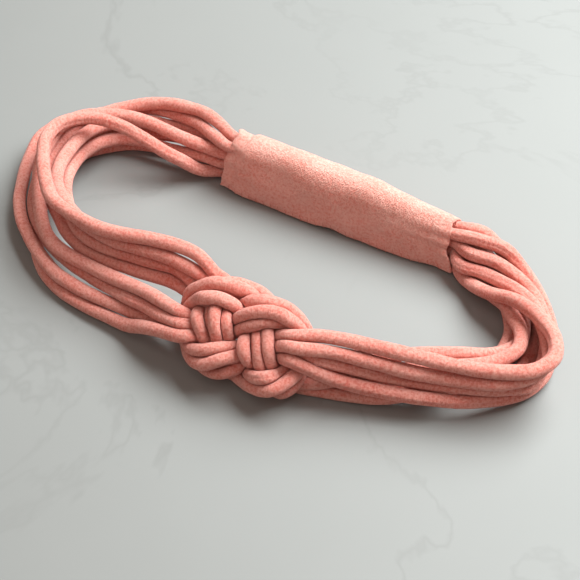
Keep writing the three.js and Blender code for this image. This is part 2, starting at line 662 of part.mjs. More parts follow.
// ---- Materials ----
const cordJersey = new THREE.MeshStandardMaterial({ color: 0xe2908a, roughness: 0.95, metalness: 0 });
const sleeveJersey = new THREE.MeshStandardMaterial({ color: 0xe9a39c, roughness: 0.95, metalness: 0 });
const sewingThread = new THREE.MeshStandardMaterial({ color: 0xc9706b, roughness: 0.8, metalness: 0 });

// ---- Assembly ----
const headband = new THREE.Group();

function addPiece(name, geometry, material) {
  const mesh = new THREE.Mesh(geometry, material.clone());
  mesh.name = name;
  headband.add(mesh);
}

const cordNames = [];
const cordRoutes = [];
KNOT_LANES.forEach((lane, index) => {
  cordNames.push(`left_cord_${index + 1}`, `right_cord_${index + 1}`);
  cordRoutes.push(cordNodes(LEFT_LEGS[index], lane, true), cordNodes(RIGHT_LEGS[index], lane, false));
});
settle(cordRoutes).forEach((nodes, index) => {
  const points = nodes.map((node) => node.place);
  const radii = nodes.map((node) => node.radius);
  addPiece(cordNames[index], tube(points, radii, CORD_SIDES), cordJersey);
});

addPiece('sleeve', sleeveGeometry(), sleeveJersey);
addPiece('sleeve_seam_thread', thread(seamPoints(), SEAM_THREAD_RADIUS), sewingThread);
const leftWhipping = whippingPoints(SLEEVE_MIDDLE - WHIPPING_OFFSET);
const rightWhipping = whippingPoints(SLEEVE_MIDDLE + WHIPPING_OFFSET);
addPiece('left_end_whipping', thread(leftWhipping, WHIPPING_RADIUS), sewingThread);
addPiece('right_end_whipping', thread(rightWhipping, WHIPPING_RADIUS), sewingThread);
addPiece('end_joining_stitch', thread(joiningPoints(), WHIPPING_RADIUS), sewingThread);

export default headband;
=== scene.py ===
"""The looks of the knotted headband: rolled-jersey cords in a carrick bend, and the sleeve behind."""

import math

import bpy
import numpy as np
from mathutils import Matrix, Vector
from mathutils.kdtree import KDTree


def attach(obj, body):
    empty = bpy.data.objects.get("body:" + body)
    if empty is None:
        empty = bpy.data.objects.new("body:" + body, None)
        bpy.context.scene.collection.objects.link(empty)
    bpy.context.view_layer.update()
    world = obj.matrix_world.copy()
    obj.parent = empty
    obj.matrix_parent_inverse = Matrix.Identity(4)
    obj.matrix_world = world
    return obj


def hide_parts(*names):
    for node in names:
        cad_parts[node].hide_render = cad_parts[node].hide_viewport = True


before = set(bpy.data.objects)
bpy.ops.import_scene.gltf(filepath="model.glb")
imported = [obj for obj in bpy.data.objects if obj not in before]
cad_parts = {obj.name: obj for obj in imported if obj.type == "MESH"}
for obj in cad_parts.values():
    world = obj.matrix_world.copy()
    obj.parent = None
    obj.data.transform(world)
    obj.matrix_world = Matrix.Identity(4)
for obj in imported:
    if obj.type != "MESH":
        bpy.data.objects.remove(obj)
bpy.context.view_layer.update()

MM = 0.001  # the lengths below are in millimetres, and meshes are made in metres
TINY = 1e-9  # keeps a division from meeting zero

# ---- Driving dimensions, the same as the solids' ----
CENTRE = np.array([16.99, 9.56, 0.0])
FREE_RADIUS = 2.45
KNOT_RADIUS = 1.85
GATHERED_RADIUS = 2.1
RIGHT_MOUTH_RADIUS = 2.15
CORD_GAP = 0.3
LEG_STEP = 10.0
KNOT_STEP = 4.9
SPAN_SAMPLES = 8

SLEEVE_LEFT = -60 + CENTRE[0]
SLEEVE_RIGHT = 47 + CENTRE[0]
SLEEVE_MIDDLE = (SLEEVE_LEFT + SLEEVE_RIGHT) / 2
SLEEVE_LENGTH = SLEEVE_RIGHT - SLEEVE_LEFT
SLEEVE_FRONT = 33 + CENTRE[1]
SLEEVE_SLANT = 0.19
SLEEVE_ZONE = 30 + CENTRE[1]  # everything further back than this is on its way into the sleeve
MOUTH_REACH = 2.2

KNOT_CENTRE = np.array([-1, -52, 18]) + CENTRE
KNOT_TILT = math.radians(40)
KNOT_TURN = math.radians(5.8)
KNOT_SCALE = 0.86
KNOT_HALF_WIDTH = 28
KNOT_HALF_HEIGHT = 19
KNOT_EDGE = (1, 1.5)  # the cords fill out between these shares of the knot's half width or height
KNOT_LOW_SHIFT = 5
KNOT_LOW_SQUASH = 0.26
KNOT_LOW_SINK = 3
KNOT_OUTER_LIFT = 1.5
KNOT_OUTER_SINK = 4
KNOT_RIGHT_STRETCH = 0.05
KNOT_LEFT_SQUASH = 0.12
# Where in the knot each of those sets in and is complete, in the even figure's own u or v.
LOW_PART = (6, 16)
LOWEST_PART = (9.5, 15)
OUTERMOST_PART = (14.6, 16)
HIGH_PART = (2, 10)
RIGHT_PART = (-8, 4)

# Inside the sleeve, as distances along it from its middle.
END_GAP = 1
GATHERED_HALF = 14
WIDENED_HALF = 44
RIGHT_MOUTH_PART = (54, 68)
MOUTH_OUTSIDE = 2
MOUTH_STRAIGHT = 6

GATHERED = {"front": 37.6, "back": 42.2, "heights": [4.6, 9.2, 13.8, 18.4]}
LEFT_MOUTH = {"front": 36.9, "back": 43.1, "heights": [3.9, 9.2, 14.6, 19.9]}
RIGHT_MOUTH = {"front": 36.7, "back": 41.4, "heights": [3.7, 8.4, 13.1, 17.8]}

LEFT_LEGS = [
    {
        "lead": { "column": "front", "row": 0, "points": [
            [-67, 34, 6], [-81, 27, 15], [-99, 24, 23], [-112, 20, 27], [-120, 14, 28],
            [-125, 3, 28], [-120, -10, 28], [-105, -28, 28], [-94, -35, 28], [-71, -39, 28],
            [-50, -36, 29], [-33, -35, 29],
        ] },
        "tail": { "column": "back", "row": 0, "points": [
            [-72, 42, 4], [-104, 36, 3], [-118, 26, 3], [-125, 12, 3], [-121, -17, 3],
            [-107, -39, 3], [-86, -52, 3], [-51, -55, 4], [-43.3, -56, 6.8], [-31.9, -58.2, 11],
        ] },
    },
    {
        "lead": { "column": "back", "row": 2, "points": [
            [-75, 46, 15], [-88, 46, 14], [-106, 40, 15], [-119, 20, 18], [-114, -10, 20],
            [-96, -29, 23], [-72, -38, 24], [-49, -38, 25], [-35, -39, 25],
        ] },
        "tail": { "column": "front", "row": 3, "points": [
            [-65, 39, 20], [-78, 45, 19], [-104, 47, 16], [-121, 38, 14], [-137, 23, 11],
            [-140, 13, 10], [-133, -8, 8], [-116, -31, 8], [-87, -49, 8], [-55, -52, 9],
            [-45.7, -52.2, 7.5], [-34.6, -54.1, 10],
        ] },
    },
    {
        "lead": { "column": "front", "row": 1, "points": [
            [-69, 36, 9], [-78, 34, 8], [-104, 32, 8], [-115, 23, 9], [-117, 6, 11],
            [-109, -13, 15], [-91, -32, 19], [-76, -39, 20], [-49, -39, 20], [-38, -39, 21],
        ] },
        "tail": { "column": "back", "row": 1, "points": [
            [-72, 44, 8], [-90, 44, 6], [-105, 40, 4], [-118, 33, 4], [-129, 20, 3], [-132, 4, 3],
            [-120, -23, 4], [-98, -40, 6], [-63, -50, 9], [-44, -52.6, 12.5],
            [-33.4, -55.2, 15.3],
        ] },
    },
    {
        "lead": { "column": "back", "row": 3, "points": [
            [-66, 45, 21], [-75, 48, 21], [-98, 47, 17], [-112, 40, 15], [-122, 30, 14],
            [-127, 16, 14], [-122, -9, 13], [-103, -27, 12], [-90, -36, 14], [-77, -41, 15],
            [-63, -41, 16], [-39, -41, 18],
        ] },
        "tail": { "column": "front", "row": 2, "points": [
            [-67, 37, 14], [-77, 36, 15], [-106, 34, 18], [-126, 19, 20], [-126, -2, 19],
            [-117, -20, 15], [-97, -41, 12], [-69, -47, 12], [-45.7, -49.4, 15.7],
            [-35.2, -51.9, 18.7],
        ] },
    },
]
RIGHT_LEGS = [
    {
        "lead": { "column": "back", "row": 1, "points": [
            [53, 38, 8], [70, 26, 3], [82, 12, 3], [84, -3, 3], [77, -20, 3], [60, -37, 3],
            [51, -43, 3], [34, -49, 3],
        ] },
        "tail": { "column": "front", "row": 0, "points": [
            [53, 34, 4], [58, 28.5, 5], [70, 20.5, 11], [76, 19, 14], [90, 12, 20], [103, 2, 22],
            [107, -9, 22], [101, -19, 22], [85, -27, 22], [64, -33, 23], [31, -43, 26],
        ] },
    },
    {
        "lead": { "column": "back", "row": 0, "points": [
            [52, 36, 4], [66, 24, 5], [80, 16, 7], [92, 2, 10], [94, -7, 10], [83, -21, 8],
            [52, -35, 7], [35, -48, 6.5],
        ] },
        "tail": { "column": "front", "row": 1, "points": [
            [54, 30, 9], [72, 29, 11], [88, 22, 14], [100, 7, 15], [105, -7, 16], [96, -22, 16],
            [69, -33, 16], [40, -41, 20], [31, -44, 21],
        ] },
    },
    {
        "lead": { "column": "back", "row": 3, "points": [
            [54, 41, 19], [61, 41, 17], [78, 36, 8], [86, 30, 4], [93, 22, 3], [97, 12, 3],
            [96, -3, 3], [92, -14, 3], [84, -21, 3], [63, -32, 3], [36, -45, 8.5],
        ] },
        "tail": { "column": "front", "row": 2, "points": [
            [55, 33, 14], [70, 33, 14], [86, 27, 11], [99, 11, 9], [103, -11, 9], [98, -19, 9],
            [81, -29, 10], [59, -37, 11], [30, -48, 19],
        ] },
    },
    {
        "lead": { "column": "back", "row": 2, "points": [
            [54, 41, 14], [73, 33, 8], [82, 25, 6], [90, 5, 5], [84, -10, 8], [72, -19, 10],
            [53, -31, 10], [36, -42, 11],
        ] },
        "tail": { "column": "front", "row": 3, "points": [
            [53, 37, 19], [61, 38, 17], [68, 38, 16], [87, 28, 5], [99, 9, 3], [100, -12, 3],
            [80, -32, 7], [47, -46, 11], [31, -52, 17],
        ] },
    },
]

# Lanes through the knot, in the knot's own plane: u to the right, v up its face, h out of it.
# The two ropes make the same figure half a turn apart, and part only where they come in and out.
KNOT_LANES = [
    {
        "left_in": [[-27, 17, -4], [-20, 15, -7], [-14, 13, -6]],
        "right_in": [[-25, 11, -9], [-19, 12.5, -8], [-14, 12.5, -6]],
        "middle": [
            [-11, 10, 0], [-7.2, 6, 5.5], [-4, 2, 6.4], [-2.2, -1.5, 3.4], [-2, -4, -2],
            [1, -8, -6], [5, -10, -4], [9, -11, 3.5], [14, -11, 6], [18, -8, 5.5], [20.5, -5, 1],
            [22.5, -2, -2], [23, 2, -4], [22, 6, -4], [19, 9, -1], [15, 10, 2.5], [11, 10, 5],
            [7, 8, 6], [3, 5.8, 5.5], [0, 3.8, 3.5], [-3, 2, -1], [-6, 0, -4],
        ],
        "left_out": [[-10, -3, -5], [-14, -6, -2], [-18, -9.3, 1.5], [-24.2, -12, 1.5]],
        "right_out": [[-9, -4, -4], [-13, -8, -1], [-17, -10, 2], [-23, -12, 4]],
    },
    {
        "left_in": [
            [-30, 13, -5], [-23, 11, -8], [-18, 8, -5], [-14, 6, 1], [-10.9, 3, 4.4],
            [-8.8, 0, 4.6], [-6.9, -3, 2.6],
        ],
        "right_in": [
            [-26, 7, -10], [-19, 8, -7], [-15, 6, 1], [-13.5, 2.5, 3], [-11.5, -0.5, 3.5],
            [-9.5, -3.5, 2.5],
        ],
        "middle": [
            [-5, -6, -2], [-3, -9, -6], [1, -12, -6], [5, -14, -4], [9, -14.5, 0.5],
            [14, -14.5, 2], [19, -12.5, 2], [23, -9, 1], [26, -6, 0], [27, -2, -3], [27, 3, -5],
            [25, 8, -5], [21.5, 12, -2], [17.5, 14, 2], [13, 14.5, 4], [8, 13, 5], [3, 10.5, 5],
            [-1, 8, 3.5], [-4, 6, 0], [-8, 3, -4],
        ],
        "left_out": [[-13, 0, -5], [-17, -4, -5], [-21.2, -8, -3.5], [-27.2, -10, -2]],
        "right_out": [[-12, -1, -5], [-16, -5, -2], [-20, -8, 1], [-26, -9, 1]],
    },
    {
        "left_in": [
            [-33, 7, -6], [-26, 5.5, -9], [-21, 4, -6], [-18, 3, 0], [-15.2, 0, 5],
            [-13.2, -3, 4.8], [-11, -5.5, 1],
        ],
        "right_in": [
            [-28, 4, -11], [-22, 5, -8], [-21, 3, -1], [-19, -0.5, 2], [-17, -4, 2.5],
            [-14.5, -7, 1],
        ],
        "middle": [
            [-9, -9, -3], [-6, -12, -7], [-1, -14, -7], [5, -15.5, -6], [10, -16, -4],
            [15.6, -15.2, -4.5], [20.5, -13.2, -4.5], [24, -10.2, -4.8], [28, -7, -5],
            [28.5, -2, -7], [28.5, 3, -8], [27, 9, -7], [23, 14, -4], [19, 16.5, -1],
            [15, 17.5, 0], [10, 17, 1.5], [5, 15.5, 2.5], [0, 13, 1.5], [-4, 11, -2], [-9, 7, -6],
        ],
        "left_out": [[-14, 4, -6], [-19, 0, -3], [-22.6, -4.8, 1.7], [-27.7, -7, 3]],
        "right_out": [[-14, 3, -7], [-18, -1, -5], [-22, -5, -2], [-28, -6, 0]],
    },
    {
        "left_in": [
            [-35, 3.5, -8], [-29, 2.5, -10], [-24, 2, -9], [-22.7, 2, -5], [-21.4, -1, 1.5],
            [-19.9, -4.5, 3.5], [-16.5, -8.5, 1],
        ],
        "right_in": [
            [-29, 1, -11], [-24, 2, -10], [-21, 2, -6], [-21, -1, -3], [-20, -4, -2],
            [-18, -8, -3],
        ],
        "middle": [
            [-12, -12, -5], [-8, -14, -8], [-2, -14.5, -9], [5, -13, -6], [11, -12.5, -2],
            [17, -12, -1], [21, -10, -2], [24, -7, -5], [25, -3, -8], [25, 3, -9], [23, 9, -8],
            [20, 13, -5], [15, 15, -2], [9, 15, -0.5], [4, 14, -0.5], [0, 12, -1.5],
            [-4, 10, -3.5], [-9, 6, -7], [-14, 3, -8], [-18, 1, -6],
        ],
        "left_out": [[-21, 0, -3], [-24, -1.6, 1], [-29.5, -2.6, 3]],
        "right_out": [[-21, -1, -2], [-24, -2, 2], [-29, -3, 4]],
    },
]


# ---- Camera, at the photograph's viewing angle ----
CAMERA_AZIMUTH = math.radians(28.5)
CAMERA_ELEVATION = math.radians(48)
CAMERA_DISTANCE = 500
CAMERA_FIELD = math.radians(26)
CAMERA_TARGET = np.array([0, -14, 8]) + CENTRE


def add_camera():
    data = bpy.data.cameras.new("camera")
    data.angle = CAMERA_FIELD
    camera = bpy.data.objects.new("camera", data)
    back = Vector((
        math.sin(CAMERA_AZIMUTH) * math.cos(CAMERA_ELEVATION),
        -math.cos(CAMERA_AZIMUTH) * math.cos(CAMERA_ELEVATION),
        math.sin(CAMERA_ELEVATION),
    ))
    camera.location = (Vector(CAMERA_TARGET) + back * CAMERA_DISTANCE) * MM
    camera.rotation_euler = back.to_track_quat("Z", "Y").to_euler()
    bpy.context.scene.collection.objects.link(camera)
    bpy.context.scene.camera = camera


add_camera()


# ---- Cord routes ----
def smoothstep(value, low, high):
    k = np.clip((value - low) / (high - low), 0, 1)
    return k * k * (3 - 2 * k)


def catmull_rom(points, at):
    """Points of the uniform Catmull-Rom curve through points, where at counts spans."""
    points = np.asarray(points, float)
    padded = np.vstack([2 * points[0] - points[1], points, 2 * points[-1] - points[-2]])
    at = np.clip(np.asarray(at, float), 0, len(points) - 1)
    span = np.minimum(at.astype(int), len(points) - 2)
    t = (at - span)[:, None]
    a, b, c, d = (padded[span + k] for k in range(4))
    square = (2 * a - 5 * b + 4 * c - d) * t**2
    cube = (3 * b - a - 3 * c + d) * t**3
    return 0.5 * (2 * b + (c - a) * t + square + cube)


def lengths_along(points):
    """The distance from the first point to each point, along them."""
    return np.r_[0, np.cumsum(np.linalg.norm(np.diff(points, axis=0), axis=1))]


def unit(vectors):
    return vectors / np.linalg.norm(vectors, axis=1)[:, None]


ACROSS = np.array([1.0, 0, 0])
UP_FACE = np.array([0, math.cos(KNOT_TILT), math.sin(KNOT_TILT)])
KNOT_OUT = np.array([0, -math.sin(KNOT_TILT), math.cos(KNOT_TILT)])
KNOT_U = ACROSS * math.cos(KNOT_TURN) - UP_FACE * math.sin(KNOT_TURN)
KNOT_V = UP_FACE * math.cos(KNOT_TURN) + ACROSS * math.sin(KNOT_TURN)


def pressed(u, v, h):
    """Presses the even figure of the knot into its real, lopsided shape."""
    low = smoothstep(-v, *LOW_PART)
    lowest = smoothstep(-v, *LOWEST_PART)
    outermost = smoothstep(-v, *OUTERMOST_PART)
    high = smoothstep(v, *HIGH_PART)
    right = smoothstep(u, *RIGHT_PART)
    stretch = high * (right * KNOT_RIGHT_STRETCH - (1 - right) * KNOT_LEFT_SQUASH)
    up = v * (1 - KNOT_LOW_SQUASH * low * right + stretch) + KNOT_OUTER_LIFT * outermost * right
    out = h - (KNOT_LOW_SINK * lowest + KNOT_OUTER_SINK * outermost) * right
    return u + KNOT_LOW_SHIFT * low, up, out


def knot_point(point, facing):
    u, v, h = pressed(facing * point[0], facing * point[1], point[2])
    return KNOT_CENTRE + KNOT_SCALE * (u * KNOT_U + v * KNOT_V) + h * KNOT_OUT


def sleeve_points(leg, is_left):
    """The end of a cord inside the sleeve: two straight points, then two at the mouth."""
    side = -1 if is_left else 1
    mouth = LEFT_MOUTH if is_left else RIGHT_MOUTH
    gathered = (GATHERED[leg["column"]] + CENTRE[1], GATHERED["heights"][leg["row"]])
    at_mouth = (mouth[leg["column"]] + CENTRE[1], mouth["heights"][leg["row"]])
    if is_left:
        mouth_x = SLEEVE_LEFT - MOUTH_OUTSIDE + SLEEVE_SLANT * at_mouth[1]
    else:
        mouth_x = SLEEVE_RIGHT + MOUTH_OUTSIDE
    inner = [
        (SLEEVE_MIDDLE + side * END_GAP, *gathered),
        (SLEEVE_MIDDLE + side * GATHERED_HALF, *gathered),
    ]
    outer = [(mouth_x - side * MOUTH_STRAIGHT, *at_mouth), (mouth_x, *at_mouth)]
    return inner, outer


def even_steps(start, end, step):
    count = max(2, math.floor((end - start) / step + 0.5))
    return np.linspace(start, end, count, endpoint=False)


def cord_nodes(legs, lane, is_left):
    """Evenly spaced points along a route: long steps on the legs, short ones in the knot."""
    start, start_mouth = sleeve_points(legs["lead"], is_left)
    end, end_mouth = sleeve_points(legs["tail"], is_left)
    lead = start_mouth + [np.add(point, CENTRE) for point in legs["lead"]["points"]]
    tail = end_mouth + [np.add(point, CENTRE) for point in legs["tail"]["points"]]
    side = "left" if is_left else "right"
    lane_points = lane[side + "_in"] + lane["middle"] + lane[side + "_out"]
    knot = [knot_point(point, 1 if is_left else -1) for point in lane_points]
    route = np.array([*lead, *knot, *tail[::-1]])
    spans = len(route) - 1
    samples = np.arange(spans * SPAN_SAMPLES + 1) / SPAN_SAMPLES
    lengths = lengths_along(catmull_rom(route, samples))
    knot_start = lengths[SPAN_SAMPLES * len(lead)]
    knot_end = lengths[SPAN_SAMPLES * (len(lead) + len(knot) - 1)]
    mouth_end = lengths[-1 - SPAN_SAMPLES]
    along = np.r_[
        0,
        even_steps(lengths[SPAN_SAMPLES], knot_start, LEG_STEP),
        even_steps(knot_start, knot_end, KNOT_STEP),
        even_steps(knot_end, mouth_end, LEG_STEP),
        mouth_end,
        lengths[-1],
    ]
    between = catmull_rom(route, np.interp(along, lengths, samples))
    return np.vstack([start, between, end[::-1]])


# ---- Settling, as in the solids: the cords give way to each other ----
SETTLE_ROUNDS = 400
FINAL_ROUNDS = 200
REST_PULL = 0.02
SHIFT_SMOOTHING = 0.3
FINAL_SMOOTHING = 0.1
STRAIGHTENING = 0.01
PAIR_REFRESH = 5
PAIR_REACH = 7.2
SAME_CORD_SKIP = 4
LEAST_WEIGHT = 0.3


def in_sleeve(places):
    return places[:, 1] > SLEEVE_ZONE


def rest_radii(places):
    offset = places - KNOT_CENTRE
    reach = np.hypot(offset @ KNOT_U / KNOT_HALF_WIDTH, offset @ KNOT_V / KNOT_HALF_HEIGHT)
    free = KNOT_RADIUS + (FREE_RADIUS - KNOT_RADIUS) * smoothstep(reach, *KNOT_EDGE)
    x = places[:, 0] - SLEEVE_MIDDLE
    widened = smoothstep(-x, GATHERED_HALF, WIDENED_HALF)
    left = GATHERED_RADIUS + (FREE_RADIUS - GATHERED_RADIUS) * widened
    share = np.clip((x - GATHERED_HALF) / (WIDENED_HALF - GATHERED_HALF), 0, 1)
    narrow = (RIGHT_MOUTH_RADIUS - GATHERED_RADIUS) * share
    outside = smoothstep(x, *RIGHT_MOUTH_PART)
    right = GATHERED_RADIUS + narrow + (FREE_RADIUS - RIGHT_MOUTH_RADIUS) * outside
    return np.where(in_sleeve(places), np.where(x < 0, left, right), free)


def nearest_between(place, i, j):
    """Where segments i to i+1 and j to j+1 are nearest: shares along each, and the gap vector."""
    first = place[i + 1] - place[i]
    second = place[j + 1] - place[j]
    apart = place[i] - place[j]
    first_sq = (first * first).sum(1)
    second_sq = (second * second).sum(1)
    both = (first * second).sum(1)
    first_apart = (first * apart).sum(1)
    second_apart = (second * apart).sum(1)
    spread = first_sq * second_sq - both * both
    s = (both * second_apart - first_apart * second_sq) / np.maximum(spread, TINY)
    s = np.where(spread > TINY, np.clip(s, 0, 1), 0.5)
    raw = (both * s + second_apart) / second_sq
    s = np.where(raw < 0, np.clip(-first_apart / first_sq, 0, 1), s)
    s = np.where(raw > 1, np.clip((both - first_apart) / first_sq, 0, 1), s)
    t = np.clip(raw, 0, 1)
    return s, t, apart + first * s[:, None] - second * t[:, None]


def near_pairs(place, starts, cord_of):
    """The pairs of segments close enough to touch before the next refresh."""
    middle = (place[starts] + place[starts + 1]) / 2
    half = np.linalg.norm(place[starts + 1] - place[starts], axis=1) / 2
    distance = np.linalg.norm(middle[:, None] - middle[None], axis=2)
    near = distance < half[:, None] + half[None] + PAIR_REACH
    i, j = np.where(np.triu(near, 1))
    same_cord = cord_of[starts[i]] == cord_of[starts[j]]
    neighbours = same_cord & (starts[j] - starts[i] < SAME_CORD_SKIP)
    return starts[i[~neighbours]], starts[j[~neighbours]]


def push_apart(place, radius, free, pairs):
    """Moves touching cords apart, in place, and lifts them off the table."""
    i, j = pairs
    s, t, apart = nearest_between(place, i, j)
    clear = radius[i] * (1 - s) + radius[i + 1] * s
    clear = clear + radius[j] * (1 - t) + radius[j + 1] * t + CORD_GAP
    distance = np.linalg.norm(apart, axis=1)
    hit = distance < clear
    i, j, s, t = i[hit], j[hit], s[hit], t[hit]
    direction = apart[hit] / np.maximum(distance[hit], TINY)[:, None]
    parts = ((i, 1 - s), (i + 1, s), (j, t - 1), (j + 1, -t))
    weight = sum(free[node] * part**2 for node, part in parts)
    strength = (clear - distance)[hit] / np.maximum(weight, LEAST_WEIGHT)
    push = np.zeros_like(place)
    share = np.zeros(len(place))
    for node, part in parts:
        np.add.at(push, node, (free[node] * part * strength)[:, None] * direction)
        np.add.at(share, node, np.abs(part))
    place += push / np.maximum(share, 1)[:, None]
    on_table = free > 0
    place[on_table, 2] = np.maximum(place[on_table, 2], radius[on_table])


def settle(cords):
    """The cords' settled points and their radii: those held in the sleeve stay where they are."""
    ends = np.cumsum([0] + [len(cord) for cord in cords])
    rest = np.concatenate(cords)
    place = rest.copy()
    radius = rest_radii(rest)
    cord_of = np.repeat(np.arange(len(cords)), np.diff(ends))
    is_end = np.zeros(len(rest), bool)
    is_end[ends[:-1]] = True
    is_end[ends[1:] - 1] = True
    after_left = rest[:, 0] > SLEEVE_LEFT - MOUTH_REACH
    before_right = rest[:, 0] < SLEEVE_RIGHT + MOUTH_REACH
    held = in_sleeve(rest) & after_left & before_right
    free = np.where(is_end | held, 0.0, 1.0)
    index = np.arange(len(rest))
    before = np.where(is_end, index, index - 1)
    after = np.where(is_end, index, index + 1)
    to_before = np.linalg.norm(rest - rest[before], axis=1)
    to_after = np.linalg.norm(rest - rest[after], axis=1)
    share = np.where(is_end, 0.5, to_before / np.maximum(to_before + to_after, TINY))[:, None]
    starts = np.setdiff1d(index, ends[1:] - 1)
    for count in range(SETTLE_ROUNDS + FINAL_ROUNDS):
        if count % PAIR_REFRESH == 0:
            pairs = near_pairs(place, starts, cord_of)
        settling = count < SETTLE_ROUNDS
        if settling:
            place -= (free * REST_PULL)[:, None] * (place - rest)
        shift = place - rest
        spread = shift[before] * (1 - share) + shift[after] * share - shift
        chord = place[before] * (1 - share) + place[after] * share - place
        place += free[:, None] * spread * (SHIFT_SMOOTHING if settling else FINAL_SMOOTHING)
        if settling:
            place += free[:, None] * chord * STRAIGHTENING
        push_apart(place, radius, free, pairs)
        push_apart(place, radius, free, pairs)
    return np.split(place, ends[1:-1]), np.split(radius, ends[1:-1])


# ---- Meshes ----
def make_object(name, vertices, faces, material, uvs=None, attributes=None):
    """A smooth-shaded mesh object, from vertices in millimetres and a uv for each face corner."""
    mesh = bpy.data.meshes.new(name)
    mesh.from_pydata((np.asarray(vertices) * MM).tolist(), [], faces)
    if uvs is not None:
        layer = mesh.uv_layers.new(name="stitches")
        layer.data.foreach_set("uv", np.asarray(uvs, np.float32).ravel())
    for key, values in (attributes or {}).items():
        attribute = mesh.attributes.new(key, "FLOAT", "POINT")
        attribute.data.foreach_set("value", np.asarray(values, np.float32))
    mesh.polygons.foreach_set("use_smooth", np.ones(len(mesh.polygons), bool))
    mesh.materials.append(material)
    mesh.validate()
    mesh.update()
    piece = bpy.data.objects.new(name, mesh)
    bpy.context.scene.collection.objects.link(piece)
    return piece


def travelling_frames(points):
    """A normal and a binormal at each point, carried along without twist."""
    tangents = unit(np.gradient(points, axis=0))
    side = np.cross(tangents[0], [0, 0, 1.0])
    normal = np.cross(side, tangents[0])
    normals = []
    for tangent in tangents:
        normal = normal - tangent * (normal @ tangent)
        normal = normal / np.linalg.norm(normal)
        normals.append(normal)
    normals = np.array(normals)
    return normals, np.cross(tangents, normals)


def grid_faces(rows, columns):
    """Which row and column each face of a grid starts at, row by row."""
    i, k = np.meshgrid(np.arange(rows), np.arange(columns), indexing="ij")
    return i.ravel(), k.ravel()


# ---- Rolled jersey cords ----
RING_STEP = 1.1
RING_SAMPLES = 12
SIDES = 28
# The soft cord is fuller than its solid, and flattens against its neighbours.
VISIBLE_RADIUS = 2.85
KNOT_VISIBLE_RADIUS = 2.78
CONTACT_GAP = 0.05
CONTACT_SHARPNESS = 8
CONTACT_REACH = 2 * VISIBLE_RADIUS + 1.2
NO_LIMIT = 1e3
LEAST_FACING = 1e-3
LOWEST_POINT = 0.02
# Outside these distances from the sleeve's middle, and in front of these, the cord is full.
OUTSIDE_ALONG = (50, 62)
OUTSIDE_BACK = (27, 32)
# Waves in the cord's thickness: long swellings, short wrinkles, and the rolled strip's own fold.
SWELL = 0.035
SWELL_WAVES = {"waves": 7, "shortest": 14, "longest": 60, "most_lobes": 2}
WRINKLE = 0.010
WRINKLE_WAVES = {"waves": 9, "shortest": 2.4, "longest": 6, "most_lobes": 3}
FOLD = 0.14
FOLD_WIDTH = 0.16
FOLD_WANDER = 1.2
FOLD_WANDER_LENGTH = 55
CORD_SEED = 100
WALES_ROUND = 20  # knit columns round a cord
COURSE = 0.72  # length of one knit row


def visible_radii(places, radii):
    """Full outside the sleeve, and within its solid inside it."""
    x = places[:, 0] - SLEEVE_MIDDLE
    back = smoothstep(places[:, 1] - CENTRE[1], *OUTSIDE_BACK)
    outside = np.maximum(smoothstep(np.abs(x), *OUTSIDE_ALONG), 1 - back)
    knot = smoothstep(FREE_RADIUS - radii, 0, FREE_RADIUS - KNOT_RADIUS)
    full = VISIBLE_RADIUS + (KNOT_VISIBLE_RADIUS - VISIBLE_RADIUS) * knot
    return np.where(in_sleeve(places) | (outside < 1), radii + (full - radii) * outside, full)


def wander(random, along, angles, waves, shortest, longest, most_lobes):
    """A smooth random field along and round a cord, about -1 to 1."""
    field = np.zeros((len(along), len(angles)))
    for _ in range(waves):
        wavelength = shortest * (longest / shortest) ** random.random()
        lobes = random.integers(0, most_lobes + 1)
        phase = random.random() * 2 * math.pi
        field += np.cos(2 * math.pi * along[:, None] / wavelength + lobes * angles[None] + phase)
    return field / math.sqrt(waves)


def build_cords(names, nodes, node_radii, material):
    """Each cord's mesh object, with its centreline and rays."""
    angles = np.arange(SIDES) * 2 * math.pi / SIDES
    cords = []
    for points, radii in zip(nodes, node_radii):
        spans = len(points) - 1
        samples = np.arange(spans * RING_SAMPLES + 1) / RING_SAMPLES
        lengths = lengths_along(catmull_rom(points, samples))
        along = np.linspace(0, lengths[-1], int(lengths[-1] / RING_STEP) + 1)
        at = np.interp(along, lengths, samples)
        centres = catmull_rom(points, at)
        radius = visible_radii(centres, np.interp(at, np.arange(spans + 1), radii))
        normals, binormals = travelling_frames(centres)
        rays = normals[:, None] * np.cos(angles)[None, :, None]
        rays = rays + binormals[:, None] * np.sin(angles)[None, :, None]
        cords.append({"along": along, "centres": centres, "radius": radius, "rays": rays})

    centres = np.concatenate([cord["centres"] for cord in cords])
    radius = np.concatenate([cord["radius"] for cord in cords])
    rays = np.concatenate([cord["rays"] for cord in cords])
    limits = contact_limits(centres, radius, rays)
    start = 0
    for number, (name, cord) in enumerate(zip(names, cords)):
        count = len(cord["along"])
        cord["limits"] = limits[start:start + count]
        start += count
        yield cord_mesh(name, number, cord, angles, material), cord


def contact_limits(centres, radius, rays):
    """How far each ray reaches before it is nearer to another stretch, or meets the table."""
    tree = KDTree(len(centres))
    for index, centre in enumerate(centres):
        tree.insert(centre, index)
    tree.balance()
    limits = np.full(rays.shape[:2], NO_LIMIT)
    for index, centre in enumerate(centres):
        near = [found[1] for found in tree.find_range(centre, CONTACT_REACH)]
        near = np.array([other for other in near if other != index])
        offset = centres[near] - centre
        distance = np.linalg.norm(offset, axis=1)
        share = radius[index] / (radius[index] + radius[near])
        facing = rays[index] @ (offset / distance[:, None]).T
        reach = distance * share / np.maximum(facing, LEAST_FACING)
        limits[index] = np.where(facing > LEAST_FACING, reach, NO_LIMIT).min(1)
        down = -rays[index][:, 2]
        to_table = centre[2] / np.maximum(down, LEAST_FACING)
        table = np.where(down > LEAST_FACING, to_table, NO_LIMIT)
        limits[index] = np.minimum(limits[index], table)
    return limits - CONTACT_GAP


